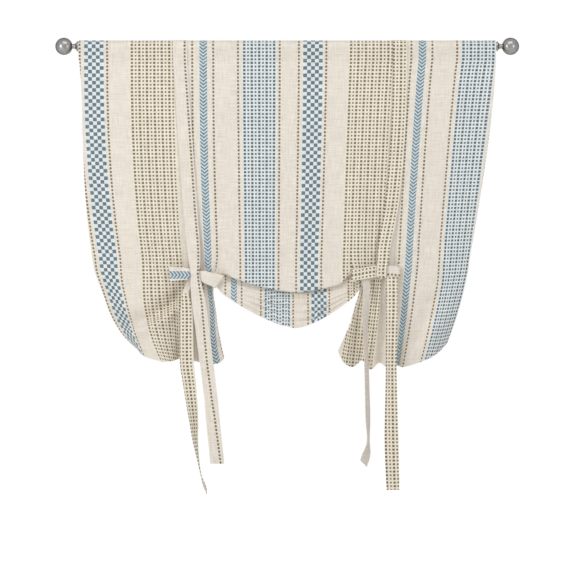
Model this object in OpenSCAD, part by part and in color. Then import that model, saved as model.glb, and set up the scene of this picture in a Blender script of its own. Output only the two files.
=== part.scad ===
// Tie-up curtain on a telescopic rod with ball finials.
// The origin is on the rod's axis, midway between the finials. X runs along the rod,
// Z is up and the curtain's front faces -Y. All sizes are in millimetres.

/* [Rod] */
// Outside diameter of the outer tube
rod_d = 25.4; // [19:0.1:30]
// Wall of the liner that the inner tube slides in
bush_wall = 0.5; // [0.4:0.05:1]
// Wall of both tubes
tube_wall = 1; // [0.8:0.1:1.4]
// Length of the outer tube
outer_len = 760; // [650:5:1000]
// Length of the inner tube
inner_len = 700; // [620:5:1000]
// Length of the liner in the mouth of the outer tube
bush_len = 40; // [20:1:60]

/* [Finials] */
// Diameter of the ball
ball_d = 48; // [36:0.5:70]
// Diameter of the neck behind the ball
neck_d = 13; // [8:0.5:18]
// Bare length of the neck
neck_len = 3.5; // [3:0.5:15]
// How much wider the flared collar is than the rod
collar_over = 3.2; // [1:0.1:10]
// Length of the flared collar
collar_len = 11.5; // [6:0.5:16]
// Width of the collar's straight rim
rim_len = 2; // [1:0.5:4]
// Wall of the inner tube's plug around the finial's spigot
plug_wall = 3; // [1.5:0.1:4]
// Length of the spigot
spigot_len = 28; // [15:1:40]

/* [Curtain] */
// Width of the panel along the rod
panel_w = 1168; // [1100:1:1240]
// Thickness of the panel's cloth
cloth_t = 1.2; // [0.8:0.1:1.8]
// Space between the collars and the panel's side edges
end_gap = 3; // [1:0.5:8]
// Drop from the rod's axis to the pocket's seam
seam_drop = 40; // [34:1:60]
// How far the pressed crease stands up above the pocket
crease_rise = 1.6; // [0:0.2:4]
// Drop from the rod's axis to where the cloth is drawn together
gather_drop = 600; // [560:1:640]
// Part of the width that is taken up where the cloth is drawn together
narrowing = 0.085; // [0.05:0.005:0.11]
// Lowest point of the edge where the panel folds over the swag
overhang_drop = 689; // [680:1:700]
// Lowest point of the swag's hem
swag_drop = 789; // [770:1:820]
// Height of the cloth tucked up behind the fold in the middle
tuck_h = 36; // [24:1:44]

/* [Ties] */
// Width of a tie
tie_w = 40; // [30:1:44]
// Thickness of a tie
tie_t = 1.6; // [1:0.1:2]
// Where the left ties are sewn, measured from the middle
left_tie_x = -300; // [-310:1:-290]
// Where the right ties are sewn, measured from the middle
right_tie_x = 316; // [306:1:326]

/* [Clearances] */
// Space between the rod and the pocket
pocket_gap = 0.65; // [0.6:0.05:0.9]
// Space between layers of cloth that lie on each other
lay_gap = 0.4; // [0.3:0.05:0.8]
// Radial clearance of the inner tube in its liner and of a spigot in its plug
slide_gap = 0.06; // [0.04:0.01:0.1]
// Radial clearance of a pressed-in liner or plug
press_gap = 0.02; // [0.01:0.01:0.04]

/* [Hidden] */
$fn = 96;

linen = "#e6dfd3";
nickel = "#9c9a97";
nylon = "#dcdcd8";

half_w = panel_w / 2;
rod_r = rod_d / 2;
rod_end = half_w + end_gap;
outer_bore_r = rod_r - tube_wall;
inner_r = outer_bore_r - press_gap - bush_wall - slide_gap;
inner_bore_r = inner_r - tube_wall;
spigot_r = inner_bore_r - press_gap - plug_wall - slide_gap;
collar_d = rod_d + collar_over;
ball_centre = collar_len + neck_len + sqrt(pow(ball_d / 2, 2) - pow(neck_d / 2, 2));

// The pocket goes round the rod in straight steps whose inside stays clear of it
wrap_from = -25;
wrap_to = 205;
wrap_steps = 10;
wrap_step = (wrap_to - wrap_from) / wrap_steps;
wrap_r = (rod_r + pocket_gap + cloth_t / 2) / cos(wrap_step / 2);
crease_power = 40;
seam_y = -3;
layer_y = cloth_t + lay_gap;

// Rows of the panel: over the rod, down to the gather, then to the hem
hang_steps = 7;
lower_steps = 22;
pinch_steps = 4;
over_steps = 3;
turn_steps = 3;
rise_steps = 2;
tuck_from = over_steps + turn_steps;
turn_from = tuck_from + rise_steps;
band_from = turn_from + turn_steps;
first_hang = wrap_steps + 2;
first_lower = first_hang + hang_steps;
last_row = first_lower + lower_steps;

// The swag: where its lowest point is and how its two edges rise towards the knots
swag_x = 25;
overhang_rise = 45;
overhang_power = 1.6;
overhang_reach = 190;
overhang_lift = [12, 30];
hem_rise = [112, 97];
hem_power = 1.5;
hem_reach = [229, 174];
hem_lift = 45;
swag_ends = [-210, 212];
notch_reach = 30;
web_bulge = [-8, 12];
web_depth = 4;
fold_r = [4, 3.5];
overhang_y = -13.5;
band_bulge = 12;
band_ripple = 3;
tuck_least = 8;
tuck_share = 0.3;

// Sideways set of the whole gather, and how much further the right edge is drawn in
gather_shift = -5;
edge_pull = 20;
edge_power = 6;
draw_in_power = 1.4;
side_bow = 0.3;
edge_belly = 120;
belly_power = 4;

// The fold tables below are drawn for this half width, and stretch to the panel's own
drawn_half_w = 584;
function drawn(u) = u * drawn_half_w / half_w;

// Columns where the side pieces end and the swag begins
left_notch = [-202, -188];
right_notch = [195, 209];
fold_line = 350;

// Depth of the soft folds at the gather: column and depth
soft_folds = [
    [-584, 3], [-545, -3], [-503, -8], [-434, -11], [-375, -6], [-340, -6], [-250, -6], [-222, -11],
    [-188, -6], [-100, -9], [0, -6], [100, -10], [190, -6], [225, -10], [255, -6], [350, -6],
    [385, -11], [430, -5], [489, -9], [540, -4], [584, 3]];

// Folds of the side pieces: column, then x and y at the bow, then x, y and z at the hem
left_folds = [
    [-584, -530, 3, -412, 42, -856], [-545, -497, -3, -411, 22, -860], [-503, -463, -8, -399, -4, -868],
    [-434, -400, -11, -350, -28, -882], [-375, -342, -6, -318, -12, -880], [-328, -299, -6, -297, 8, -874],
    [-295, -270, -6, -264, -14, -880], [-262, -248, -6, -231, -20, -886], [-232, -234, -9, -198, -12, -889],
    [-210, -226, -5, -182, 0, -880], [-202, -224, -1, -177, 4, -872]];
right_folds = [
    [209, 218, -1, 145, 4, -853], [222, 222, -6, 160, -8, -885], [240, 231, -8, 184, -14, -898],
    [262, 245, -6, 210, 6, -880], [292, 262, -6, 232, -18, -905], [325, 284, -6, 259, 6, -886],
    [345, 303, -6, 284, -20, -902], [377, 335, -11, 307, -8, -893], [405, 359, -8, 322, -20, -898],
    [489, 434, -7, 383, -8, -880], [540, 470, -4, 420, 8, -860], [584, 502, 3, 449, 34, -832]];
bow_drop = 650;

// Smooth value at u from a table of rows that start with their own u
function span_at(table, u) =
    min(max(len([for (row = table) if (row[0] <= u) 1]) - 1, 0), len(table) - 2);
function slope_at(table, i) =
    let (a = table[max(i - 1, 0)], b = table[min(i + 1, len(table) - 1)]) (b - a) / (b[0] - a[0]);
function blend4(a, b, da, db, s) =
    a * (1 + s * s * (2 * s - 3)) + b * (s * s * (3 - 2 * s))
    + da * (s * (1 - s) * (1 - s)) + db * (s * s * (s - 1));
function smooth_row(table, u) =
    let (i = span_at(table, u), a = table[i], b = table[i + 1], h = b[0] - a[0])
    blend4(a, b, slope_at(table, i) * h, slope_at(table, i + 1) * h, (u - a[0]) / h);
function ease(s) = let (c = min(max(s, 0), 1)) c * c * (3 - 2 * c);

// Row of the pocket: from the back of the seam, over the rod, to its front
function wrap_point(row) =
    row == 0 ? [seam_y + layer_y, -seam_drop]
    : let (a = wrap_from + (row - 1) * wrap_step,
           r = wrap_r + crease_rise * pow(max(sin(a), 0), crease_power))
      [r * cos(a), r * sin(a)];

// Across at the gather
function gather_x(u) =
    u * (1 - narrowing) + gather_shift - edge_pull * pow(max(u / half_w, 0), edge_power);

// Hanging part between the seam and the gather
function hang_point(u, t) =
    [u + (gather_x(u) - u) * pow(t, draw_in_power),
     seam_y + (smooth_row(soft_folds, drawn(u))[1] - seam_y) * t * t,
     -seam_drop - (gather_drop - seam_drop) * t];

// Side piece below the gather: drawn together at the bow, then spread to the hem
function side_point(folds, u, step) =
    let (f = smooth_row(folds, drawn(u)), g = hang_point(u, 1), bow = [f[1], f[2], -bow_drop],
         hem = [f[3], f[4], f[5]], s = (step - pinch_steps) / (lower_steps - pinch_steps))
    step <= pinch_steps ? g + (bow - g) * (step / pinch_steps)
    : let (belly = edge_belly * s * pow(max(-u / half_w, 0), belly_power))
      bow + (hem - bow) * s - [(1 - s) * s * ((hem[0] - bow[0]) * side_bow + belly), 0, 0];

// Edges of the swag at x
function side_of(x) = x < swag_x ? 0 : 1;
function notch_ease(x) = ease(1 - abs(swag_ends[side_of(x)] - x) / notch_reach);
function overhang_z(x) =
    -overhang_drop + overhang_rise * pow(abs(x - swag_x) / overhang_reach, overhang_power)
    + overhang_lift[side_of(x)] * notch_ease(x);
function hem_z(x) =
    let (i = side_of(x))
    -swag_drop + hem_rise[i] * pow(abs(x - swag_x) / hem_reach[i], hem_power) + hem_lift * notch_ease(x);

// Swag below the gather: over the edge, tucked up behind it, then down to the hem
function swag_point(u, step) =
    let (g = hang_point(u, 1),
         q = (u - left_notch[1]) / (right_notch[0] - left_notch[1]),
         x_hem = swag_ends[0] + (swag_ends[1] - swag_ends[0]) * q,
         z_over = overhang_z(x_hem), z_hem = hem_z(x_hem),
         tuck = min(tuck_h, tuck_least + tuck_share * (z_over - z_hem)),
         z_low = z_over + fold_r[0], z_high = z_over + tuck - fold_r[1],
         y_low = overhang_y + fold_r[0], y_high = y_low + fold_r[0] + fold_r[1],
         y_band = y_high + fold_r[1],
         x = g[0] + (x_hem - g[0]) * min(step / over_steps, 1),
         s = (step - band_from) / (lower_steps - band_from),
         shown = max((z_over - z_high - (z_hem - z_high) * s) / (z_over - z_hem), 0))
    step <= over_steps
      ? let (q = step / over_steps) [x, g[1] + (overhang_y - g[1]) * ease(q), g[2] + (z_low - g[2]) * q]
    : step <= tuck_from
      ? let (a = (step - over_steps) / turn_steps * 180)
        [x, y_low - fold_r[0] * cos(a), z_low - fold_r[0] * sin(a)]
    : step <= turn_from
      ? [x, y_low + fold_r[0], z_low + (z_high - z_low) * (step - tuck_from) / rise_steps]
    : step <= band_from
      ? let (a = (step - turn_from) / turn_steps * 180)
        [x, y_high - fold_r[1] * cos(a), z_high + fold_r[1] * sin(a)]
    : [x, y_band - band_bulge * sin(180 * shown) - band_ripple * sin(720 * shown),
       z_high + (z_hem - z_high) * s];

// Narrow web that joins a side piece to the swag, bowed sideways behind the side piece
function web_point(side, swag, w, bulge) =
    side + (swag - side) * w + [bulge * sin(180 * w), web_depth * sin(180 * w), 0];

function panel_point(u, row) =
    row < first_hang ? let (p = wrap_point(row)) [u, p[0], p[1]]
    : row <= first_lower ? hang_point(u, (row - first_hang) / hang_steps)
    : let (step = row - first_lower)
      u <= left_notch[0] ? side_point(left_folds, u, step)
    : u >= right_notch[1] ? side_point(right_folds, u, step)
    : u < left_notch[1]
      ? web_point(side_point(left_folds, left_notch[0], step), swag_point(left_notch[1], step),
                  (u - left_notch[0]) / (left_notch[1] - left_notch[0]), web_bulge[0] * step / lower_steps)
    : u > right_notch[0]
      ? web_point(side_point(right_folds, right_notch[1], step), swag_point(right_notch[0], step),
                  (right_notch[1] - u) / (right_notch[1] - right_notch[0]), web_bulge[1] * step / lower_steps)
    : swag_point(u, step);

// Columns of the panel, closer together where the cloth is drawn in
function stretch(from, to, steps) = [for (i = [0 : steps - 1]) from + (to - from) * i / steps];
columns = concat(
    stretch(-half_w, -fold_line, 9), stretch(-fold_line, left_notch[0], 9),
    stretch(left_notch[0], left_notch[1], 4),
    stretch(left_notch[1], right_notch[0], 12), stretch(right_notch[0], right_notch[1], 4),
    stretch(right_notch[1], fold_line, 10), stretch(fold_line, half_w, 9), [half_w]);

// Unit normal of a grid of points, on the side that faces -Y where rows run down and columns run along X
function grid_normal(grid, r, c) =
    let (rows = len(grid) - 1, cols = len(grid[0]) - 1,
         down = grid[min(r + 1, rows)][c] - grid[max(r - 1, 0)][c],
         along = grid[r][min(c + 1, cols)] - grid[r][max(c - 1, 0)],
         n = cross(down, along))
    n / norm(n);

// Closed sheet of cloth around a grid of points
module sheet(grid, t) {
    rows = len(grid);
    cols = len(grid[0]);
    normals = [for (r = [0 : rows - 1]) [for (c = [0 : cols - 1]) grid_normal(grid, r, c)]];
    front = [for (r = [0 : rows - 1]) for (c = [0 : cols - 1]) grid[r][c] + normals[r][c] * t / 2];
    back = [for (r = [0 : rows - 1]) for (c = [0 : cols - 1]) grid[r][c] - normals[r][c] * t / 2];
    n = rows * cols;
    function at(r, c) = r * cols + c;
    function split(a, b, c, d) = [[a, b, c], [a, c, d]];
    quads = concat(
        [for (r = [0 : rows - 2]) for (c = [0 : cols - 2])
            [at(r, c), at(r, c + 1), at(r + 1, c + 1), at(r + 1, c)]],
        [for (r = [0 : rows - 2]) for (c = [0 : cols - 2])
            [n + at(r, c), n + at(r + 1, c), n + at(r + 1, c + 1), n + at(r, c + 1)]],
        [for (c = [0 : cols - 2]) [at(0, c + 1), at(0, c), n + at(0, c), n + at(0, c + 1)]],
        [for (c = [0 : cols - 2])
            [at(rows - 1, c), at(rows - 1, c + 1), n + at(rows - 1, c + 1), n + at(rows - 1, c)]],
        [for (r = [0 : rows - 2]) [at(r, 0), at(r + 1, 0), n + at(r + 1, 0), n + at(r, 0)]],
        [for (r = [0 : rows - 2])
            [at(r + 1, cols - 1), at(r, cols - 1), n + at(r, cols - 1), n + at(r + 1, cols - 1)]]);
    polyhedron(points = concat(front, back), faces = [for (q = quads) each split(q[0], q[1], q[2], q[3])]);
}

// Ties: each row is a place and half of the width across it
tie_off = cloth_t / 2 + lay_gap + tie_t / 2;
strap_from = 7;
strap_free = 0.8;
left_lean = 1;
right_lean = 2;
left_knot = [-255, -639];
right_knot = [267, -631];

// The routes below are drawn for this tie width and swag, and follow the ones in use
drawn_tie_w = 40;
drawn_swag_drop = 789;
lower = min(drawn_swag_drop - swag_drop, 0);

// Foremost depth of the cloth under a front tie at x
function cloth_y(x, t) =
    let (q = pow(t, draw_in_power))
    min([for (k = [-1 : 0.5 : 1])
        hang_point((x + k * tie_w / 2 - gather_shift * q) / (1 - narrowing * q), t)[1]]);

// Front tie where it lies on the panel, from the top of the pocket down
function strap_rows(top_x, low_x, lean) = concat(
    [for (row = [strap_from : first_hang - 1])
        let (p = wrap_point(row), out = p / norm(p) * tie_off)
        [top_x, p[0] + out[0], p[1] + out[1], tie_w / 2, 0, 0]],
    [for (i = [0 : hang_steps - 1])
        let (t = i / hang_steps, x = top_x + (low_x - top_x) * pow(t, lean), p = hang_point(x, t))
        if (t < strap_free) [x, cloth_y(x, t) - tie_off, p[2], tie_w / 2, 0, 0]]);

// Back tie where it leaves the back of the pocket
function back_rows(top_x) =
    let (y = wrap_r + tie_off)
    [[top_x, y, 4, tie_w / 2, 0, 0], [top_x, y, -8, tie_w / 2, 0, 0], [top_x, y - 2, -60, tie_w / 2, 0, 0]];

// Rows that were chosen from a knot: across, depth, height, then half of the width
function from_knot(knot, rows) =
    let (k = tie_w / drawn_tie_w)
    [for (r = rows) [knot[0] + r[0], r[1], knot[1] + r[2], r[3] * k, r[4] * k, r[5] * k]];

left_front_route = [
    [-7, -14, 75, 19, 0, 0], [-3, -24, 36, 17, 0, 0], [-1, -30, 8, 15, 0, 0],
    [3, -31, -8, 15, 0, 0], [10, -32, -30, 16, 0, 0], [16, -35, -80, 18, 0, 0],
    [27, -40, -181, 19, 0, 0], [40, -38, -368, 20, -3, 0], [55, -34, -528, 20, 4, 0]];
left_back_route = [
    [-20, 11, 330, 19, 0, 0], [12, 10, 80, 17, 0, 0], [44, 9, 8, 9, 0, 0],
    [56, 7, lower - 28, 5, 0, 0], [57, -4, lower - 42, 4, 0, 0], [51, -13, lower - 36, 3, -2, 3],
    [20, -14, -11, 0, 0, 7], [0, -14.5, -1, 0, 0, 11], [-35, -15, 1, 0, 0, 17],
    [-66, -17, 2, 0, 0, 20], [-73, -21, 2, 0, 0, 20], [-66, -25.5, 2, 0, 0, 20],
    [-30, -26, 2, 0, 0, 17], [0, -24, -1, 0, 0, 12], [25, -26, -7, 3, 0, 16],
    [60, -26.5, -18, 11, 0, 17], [67, -22, -20.5, 12, 0, 17.5], [60, -18, -18, 11, 0, 17],
    [27, -18.5, -8, 4, 0, 12], [3, -19, -3, -1, 0, 8], [-14, -19.5, -18, -6, 0, 5],
    [-24, -22, -38, -7, 0, 3], [-29, -26, -53, -9, 0, 2], [-27, -30, -80, -14, 0, 0],
    [-26, -32, -121, -18, 0, 0], [-25, -36, -241, -19, -3, 0], [-18, -35, -301, -18, -4, 0],
    [-6, -33, -405, -12, -14, 0], [-2, -32, -458, -8, -17, 0], [7, -32, -519, -6, -18, 0],
    [25, -32, -589, -6, -18, 0], [31, -32, -611, -6, -18, 0]];
right_front_route = [
    [5, -14, 75, 19, 0, 0], [3, -24, 36, 17, 0, 0], [2, -30, 8, 15, 0, 0], [6, -31, -8, 14, 0, 0],
    [16, -32, -30, 14, 0, 0], [23, -35, -80, 15, 0, 0], [24, -40, -180, 15, -8, 0],
    [23, -38, -284, 14, -10, 0], [24, -36, -466, 19, -3, 0], [28, -34, -609, 18, 4, 0]];
right_back_route = [
    [30, 11, 330, 19, 0, 0], [-8, 10, 80, 17, 0, 0], [-54, 9, 8, 9, 0, 0],
    [-75, 7, lower - 64, 4.5, 0, 0], [-77, -4, lower - 80, 4, 0, 0],
    [-70, -13, lower - 70, 3, -2, 3], [-30, -14, -17, 0, 0, 7], [-4, -14.5, -2, 0, 0, 11],
    [22, -15, 0, 0, 0, 13], [42, -17, 0, 0, 0, 15], [48, -21, -1, 0, 0, 15],
    [42, -25.5, 0, 0, 0, 15], [20, -26, 2, 0, 0, 14.5], [0, -24, 1, 0, 0, 12],
    [-25, -26, 0, 0, 0, 16], [-75, -26.5, -9, 0, 0, 16], [-87, -22, -11, 0, 0, 16],
    [-78, -18.5, -10, 0, 0, 16], [-60, -18, -10, 3, 0, 13], [-50, -19, -23, 8, 0, 7],
    [-46, -22, -46, 10, 0, 2], [-48, -27, -100, 9, 5, 0], [-49, -29, -163, 7, 9, 0],
    [-46, -29, -253, 6, 10, 0], [-42, -29, -407, 6, 11, 0], [-47, -28, -505, 8, 9, 3],
    [-50, -28, -529, 9, 9, 4]];

// Smooth rows along a route, with equal steps between each two of its rows
route_steps = 3;
function smooth_route(rows) =
    let (last = len(rows) - 1)
    [for (i = [0 : last - 1]) for (k = [0 : route_steps - 1])
        let (a = rows[i], b = rows[i + 1], da = (b - rows[max(i - 1, 0)]) / 2,
             db = (rows[min(i + 2, last)] - a) / 2)
        blend4(a, b, da, db, k / route_steps),
     rows[last]];

function tie_grid(rows) =
    [for (r = rows) [for (k = [-1 : 1]) [r[0] + k * r[3], r[1] + k * r[4], r[2] + k * r[5]]]];

module front_tie(top_x, knot, route, lean)
    color(linen)
    sheet(tie_grid(concat(
        strap_rows(top_x, knot[0] + route[0][0], lean),
        smooth_route(from_knot(knot, route)))), tie_t);

module back_tie(top_x, knot, route)
    color(linen)
    sheet(tie_grid(smooth_route(concat(back_rows(top_x), from_knot(knot, route)))), tie_t);

module curtain_panel()
    color(linen)
    sheet([for (row = [0 : last_row]) [for (u = columns) panel_point(u, row)]], cloth_t);

module left_front_tie() front_tie(left_tie_x, left_knot, left_front_route, left_lean);
module right_front_tie() front_tie(right_tie_x, right_knot, right_front_route, right_lean);
module left_back_tie() back_tie(left_tie_x, left_knot, left_back_route);
module right_back_tie() back_tie(right_tie_x, right_knot, right_back_route);

// Pipe along X from x0 to x1
module pipe(x0, x1, r_out, r_in)
    translate([x0, 0, 0]) rotate([0, 90, 0]) difference() {
        cylinder(h = x1 - x0, r = r_out);
        translate([0, 0, -1]) cylinder(h = x1 - x0 + 2, r = r_in);
    }

module outer_rod_tube() color(nickel) pipe(-rod_end, outer_len - rod_end, rod_r, outer_bore_r);
module inner_rod_tube() color(nickel) pipe(rod_end - inner_len, rod_end, inner_r, inner_bore_r);
module rod_guide_bush()
    color(nylon)
    pipe(outer_len - rod_end - bush_len, outer_len - rod_end,
         outer_bore_r - press_gap, inner_r + slide_gap);
module left_end_plug()
    color(nylon)
    pipe(-rod_end, spigot_len + tube_wall - rod_end,
         outer_bore_r - press_gap, spigot_r + slide_gap);
module right_end_plug()
    color(nylon)
    pipe(rod_end - spigot_len - tube_wall, rod_end,
         inner_bore_r - press_gap, spigot_r + slide_gap);

// Ball finial along +Z, with its collar's face at zero
module finial() {
    flare = (collar_d - neck_d) / 2;
    flare_len = collar_len - rim_len;
    translate([0, 0, ball_centre]) sphere(d = ball_d);
    translate([0, 0, rim_len]) cylinder(h = ball_centre - rim_len, d = neck_d);
    cylinder(h = rim_len, d = collar_d);
    translate([0, 0, -spigot_len]) cylinder(h = spigot_len + rim_len, r = spigot_r);
    rotate_extrude() polygon(concat(
        [[0, rim_len]],
        [for (a = [0 : 15 : 90]) [collar_d / 2 - flare * sin(a), collar_len - flare_len * cos(a)]],
        [[0, collar_len]]));
}

module left_finial() color(nickel) translate([-rod_end, 0, 0]) rotate([0, -90, 0]) finial();
module right_finial() color(nickel) translate([rod_end, 0, 0]) rotate([0, 90, 0]) finial();

curtain_panel();
left_front_tie();
left_back_tie();
right_front_tie();
right_back_tie();
outer_rod_tube();
inner_rod_tube();
rod_guide_bush();
left_end_plug();
right_end_plug();
left_finial();
right_finial();
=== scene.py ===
"""Tie-up curtain: the printed linen, its ties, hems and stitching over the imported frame."""
import math

import bpy
import numpy as np
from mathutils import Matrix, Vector


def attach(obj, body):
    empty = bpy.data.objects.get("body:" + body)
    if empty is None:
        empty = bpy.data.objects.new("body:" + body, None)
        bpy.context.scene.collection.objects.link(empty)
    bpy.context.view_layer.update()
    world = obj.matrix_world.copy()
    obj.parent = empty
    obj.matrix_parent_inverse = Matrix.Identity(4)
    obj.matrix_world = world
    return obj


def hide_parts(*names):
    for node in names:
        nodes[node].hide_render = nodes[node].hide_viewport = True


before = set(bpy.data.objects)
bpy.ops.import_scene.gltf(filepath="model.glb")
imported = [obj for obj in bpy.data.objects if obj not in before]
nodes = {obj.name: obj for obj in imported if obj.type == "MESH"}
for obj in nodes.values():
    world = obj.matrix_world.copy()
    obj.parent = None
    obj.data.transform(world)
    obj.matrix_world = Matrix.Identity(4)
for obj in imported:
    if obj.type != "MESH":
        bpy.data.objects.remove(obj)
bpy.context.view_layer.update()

# Lengths are in millimetres until a mesh is made
MM = 0.001

# Sizes of the cloth, as in the part's source, and the values of its curves
CLOTH_T = 1.2
TIE_T = 1.6
TIE_W = 40
LAY_GAP = 0.4
HALF_W = 584
SEAM_DROP = 40
CREASE_RISE, CREASE_POWER = 1.6, 40
GATHER_DROP = 600
GATHER_SHIFT = 5
DRAW_POWER = 1.4
RIGHT_DRAW = 20
BOW_DROP = 650
NARROWING = 0.085
OVERHANG_DROP = 689
SWAG_DROP = 789
TUCK_H, TUCK_LEAST, TUCK_SHARE = 36, 8, 0.3
SEAM_Y = -3
LAYER_Y = CLOTH_T + LAY_GAP
WRAP_R = 14.1
WRAP_START, WRAP_END = -25, 205
OVERHANG_Y = -13.5
FOLD_R = (4, 3.5)
SWAG_X = 25
SWAG_ENDS = (-210, 212)
LEFT_NOTCH = (-202, -188)
RIGHT_NOTCH = (195, 209)
NOTCH_REACH = 30
FOLD_LINE = 350
WEB_BULGE, WEB_DEPTH = (-8, 12), 6
EDGE_BELLY, BELLY_POWER = 120, 14
FOLD_BULGE, FOLD_BULGE_U, FOLD_BULGE_W = 45, -434, 45
SIDE_BOW = 0.3
LEFT_TIE_X, RIGHT_TIE_X = -300, 316
LEFT_KNOT, RIGHT_KNOT = (-255, -639), (267, -631)

# Curves of the swag's fold and of its hem, where a pair is for the left and the right half
OVERHANG_LIFT = (12, 30)
OVERHANG_RISE, OVERHANG_REACH, OVERHANG_POWER = 45, 190, 1.6
HEM_RISE, HEM_REACH, HEM_POWER, HEM_LIFT = (112, 97), (229, 174), 1.5, 14

# Pleats: above each knot (middle and pitch), and across the band below the swag's fold
KNOT_PLEATS = ((-292, 27.0), (300, 25.0))
KNOT_PLEAT_DEPTH, KNOT_PLEAT_REACH = 2.6, 62
BAND_BELLY, BAND_PLEAT, BAND_TURNS, BAND_REACH = 11, 9.5, 4.6, 190

# Steps below the gather: over the fold, its turn, up behind it, the second turn, then the band
LOWER_STEPS = 22
PINCH_STEPS = 4
OVER, TUCK, TURN, BAND = 3, 6, 8, 11

# Soft folds at the gather: place across the cloth, depth
SOFT_FOLDS = np.array([
    [-584, 3], [-545, -3], [-503, -8], [-434, -11], [-375, -6], [-340, -6], [-250, -6],
    [-222, -11], [-188, -6], [-100, -9], [0, -6], [100, -10], [190, -6], [225, -10], [255, -6],
    [350, -6], [385, -11], [430, -5], [489, -9], [540, -4], [584, 3]], float)
# Folds of the side pieces: place across the cloth, x and y at the bow, then x, y and z at the hem
LEFT_FOLDS = np.array([
    [-584, -530, 3, -412, 42, -856], [-545, -497, -3, -411, 22, -860],
    [-503, -463, -8, -399, -4, -868], [-434, -400, -11, -350, -28, -882],
    [-375, -342, -6, -318, -12, -880], [-328, -299, -6, -297, 8, -874],
    [-295, -270, -6, -264, -14, -880], [-262, -247, -6, -231, -20, -886],
    [-232, -231, -9, -198, -12, -889], [-210, -220, -5, -182, 0, -880],
    [-202, -216, -1, -177, 4, -872]], float)
RIGHT_FOLDS = np.array([
    [209, 218, -1, 142, -8, -853], [222, 222, -6, 158, 2, -885], [240, 231, -8, 184, 18, -898],
    [262, 245, -6, 210, 22, -880], [292, 262, -6, 232, -18, -905], [325, 284, -6, 259, 6, -886],
    [345, 303, -6, 284, -20, -902], [377, 335, -11, 307, -8, -893],
    [405, 359, -8, 322, -20, -898], [489, 434, -7, 383, -8, -880], [540, 470, -4, 420, 8, -860],
    [584, 502, 3, 449, 34, -832]], float)

# Routes of the ties, from their knot: x, y, z and half of the strip's width as a vector
LEFT_FRONT = [
    [-7, -14, 75, 19, 0, 0], [-4, -24, 36, 16, 0, 0], [-3, -30, 8, 12, 0, 0],
    [-2, -31, -8, 12, 0, 0], [1, -32, -30, 15.5, 0, 0], [9, -35, -84, 19.5, 0, 0],
    [22, -40, -181, 19, 0, 0], [41, -38, -333, 18.5, -3, 0], [48, -37, -407, 19, -2, 0],
    [60, -34, -528, 19, 4, 0]]
LEFT_BACK = [
    [-20, 11, 330, 19, 0, 0], [12, 10, 80, 17, 0, 0], [44, 9, 8, 9, 0, 0],
    [49, 7, -24, 3.5, 0, 0], [49, -4, -33, 3, 0, 0], [43, -13, -27, 2.5, -1, 2],
    [20, -14, -11, 0, 0, 7], [0, -14.5, -1, 0, 0, 11], [-35, -15, 1, 0, 0, 17],
    [-66, -17, 2, 0, 0, 20], [-73, -21, 2, 0, 0, 20], [-66, -25.5, 2, 0, 0, 20],
    [-30, -26, 2, 0, 0, 17], [0, -24, -1, 0, 0, 12], [25, -26, -7, 3, 0, 16],
    [60, -26.5, -18, 11, 0, 17], [67, -22, -20.5, 12, 0, 17.5], [60, -18, -18, 11, 0, 17],
    [27, -18.5, -8, 4, 0, 12], [3, -19, -3, -1, 0, 8], [-14, -19.5, -18, -6, 0, 5],
    [-24, -22, -38, -7, 0, 3], [-29, -26, -53, -9, 0, 2], [-27, -30, -80, -14, 0, 0],
    [-26, -32, -121, -18, 0, 0], [-25, -36, -241, -19, -3, 0], [-18, -35, -301, -18, -4, 0],
    [-6, -33, -405, -12, -14, 0], [-2, -32, -458, -7, -17, 0], [7, -32, -519, -1.5, -19, 0],
    [15, -32, -560, 1, -19, 0], [24, -32, -589, 5, -18, 0], [31, -32, -613, 1, -19, 0]]
RIGHT_FRONT = [
    [4, -14, 75, 18, 0, 0], [1, -24, 36, 16, 0, 0], [-3, -30, 10, 13.5, 0, 0],
    [-4, -31, -3, 13, 0, 0], [-4, -30.5, -11, 13, 0, 0], [-1, -26, -17, 12.5, 0, 0],
    [6, -20, -12, 12.5, 0, 0], [15, -18.5, -4, 13, 0, 0], [22, -20, 3, 14, 0, 0],
    [25, -22.6, -3, 15, 0, 0], [25, -23.2, -16, 15.3, 0, 0], [25, -28, -36, 15.6, 0, 0],
    [25, -34, -62, 15.7, 0, 0], [25, -36, -90, 15, -2, 0], [24, -40, -180, 15, -8, 0],
    [23, -38, -284, 14, -10, 0], [24, -36, -466, 19, -3, 0], [28, -34, -609, 18, 4, 0]]
RIGHT_BACK = [
    [30, 11, 330, 19, 0, 0], [-8, 10, 80, 17, 0, 0], [-54, 9, 8, 9, 0, 0],
    [-63, 7, -44, 3, 0, 0], [-63, -3, -51, 2.5, 0, 0], [-59, -13, -44, 2.5, -1, 2],
    [-30, -14, -17, 0, 0, 7], [-4, -14.5, -2, 0, 0, 11], [22, -15, 0, 0, 0, 13],
    [42, -17, 0, 0, 0, 15], [48, -21, -1, 0, 0, 15], [42, -25.5, 0, 0, 0, 15],
    [20, -26, 2, 0, 0, 14.5], [0, -24, 1, 0, 0, 12], [-25, -26, 0, 0, 0, 16],
    [-75, -26.5, -9, 0, 0, 16], [-87, -22, -11, 0, 0, 16], [-78, -18.5, -10, 0, 0, 16],
    [-60, -18, -10, 3, 0, 13], [-50, -19, -23, 8, 0, 7], [-46, -22, -46, 10, 0, 2],
    [-48, -27, -100, 9, 5, 0], [-49, -29, -163, 7, 9, 0], [-46, -29, -253, 6, 10, 0],
    [-42, -29, -407, 6, 11, 0], [-41, -29, -472, 4, 12, 1], [-47, -28, -512, 12, 7, 1],
    [-54, -28, -536, 9, 6, -9]]


# Shape of the cloth, from the formulas of the part's source with more folds and creases

def ease(s):
    """Smooth step from 0 to 1."""
    c = np.clip(s, 0, 1)
    return c * c * (3 - 2 * c)


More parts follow.
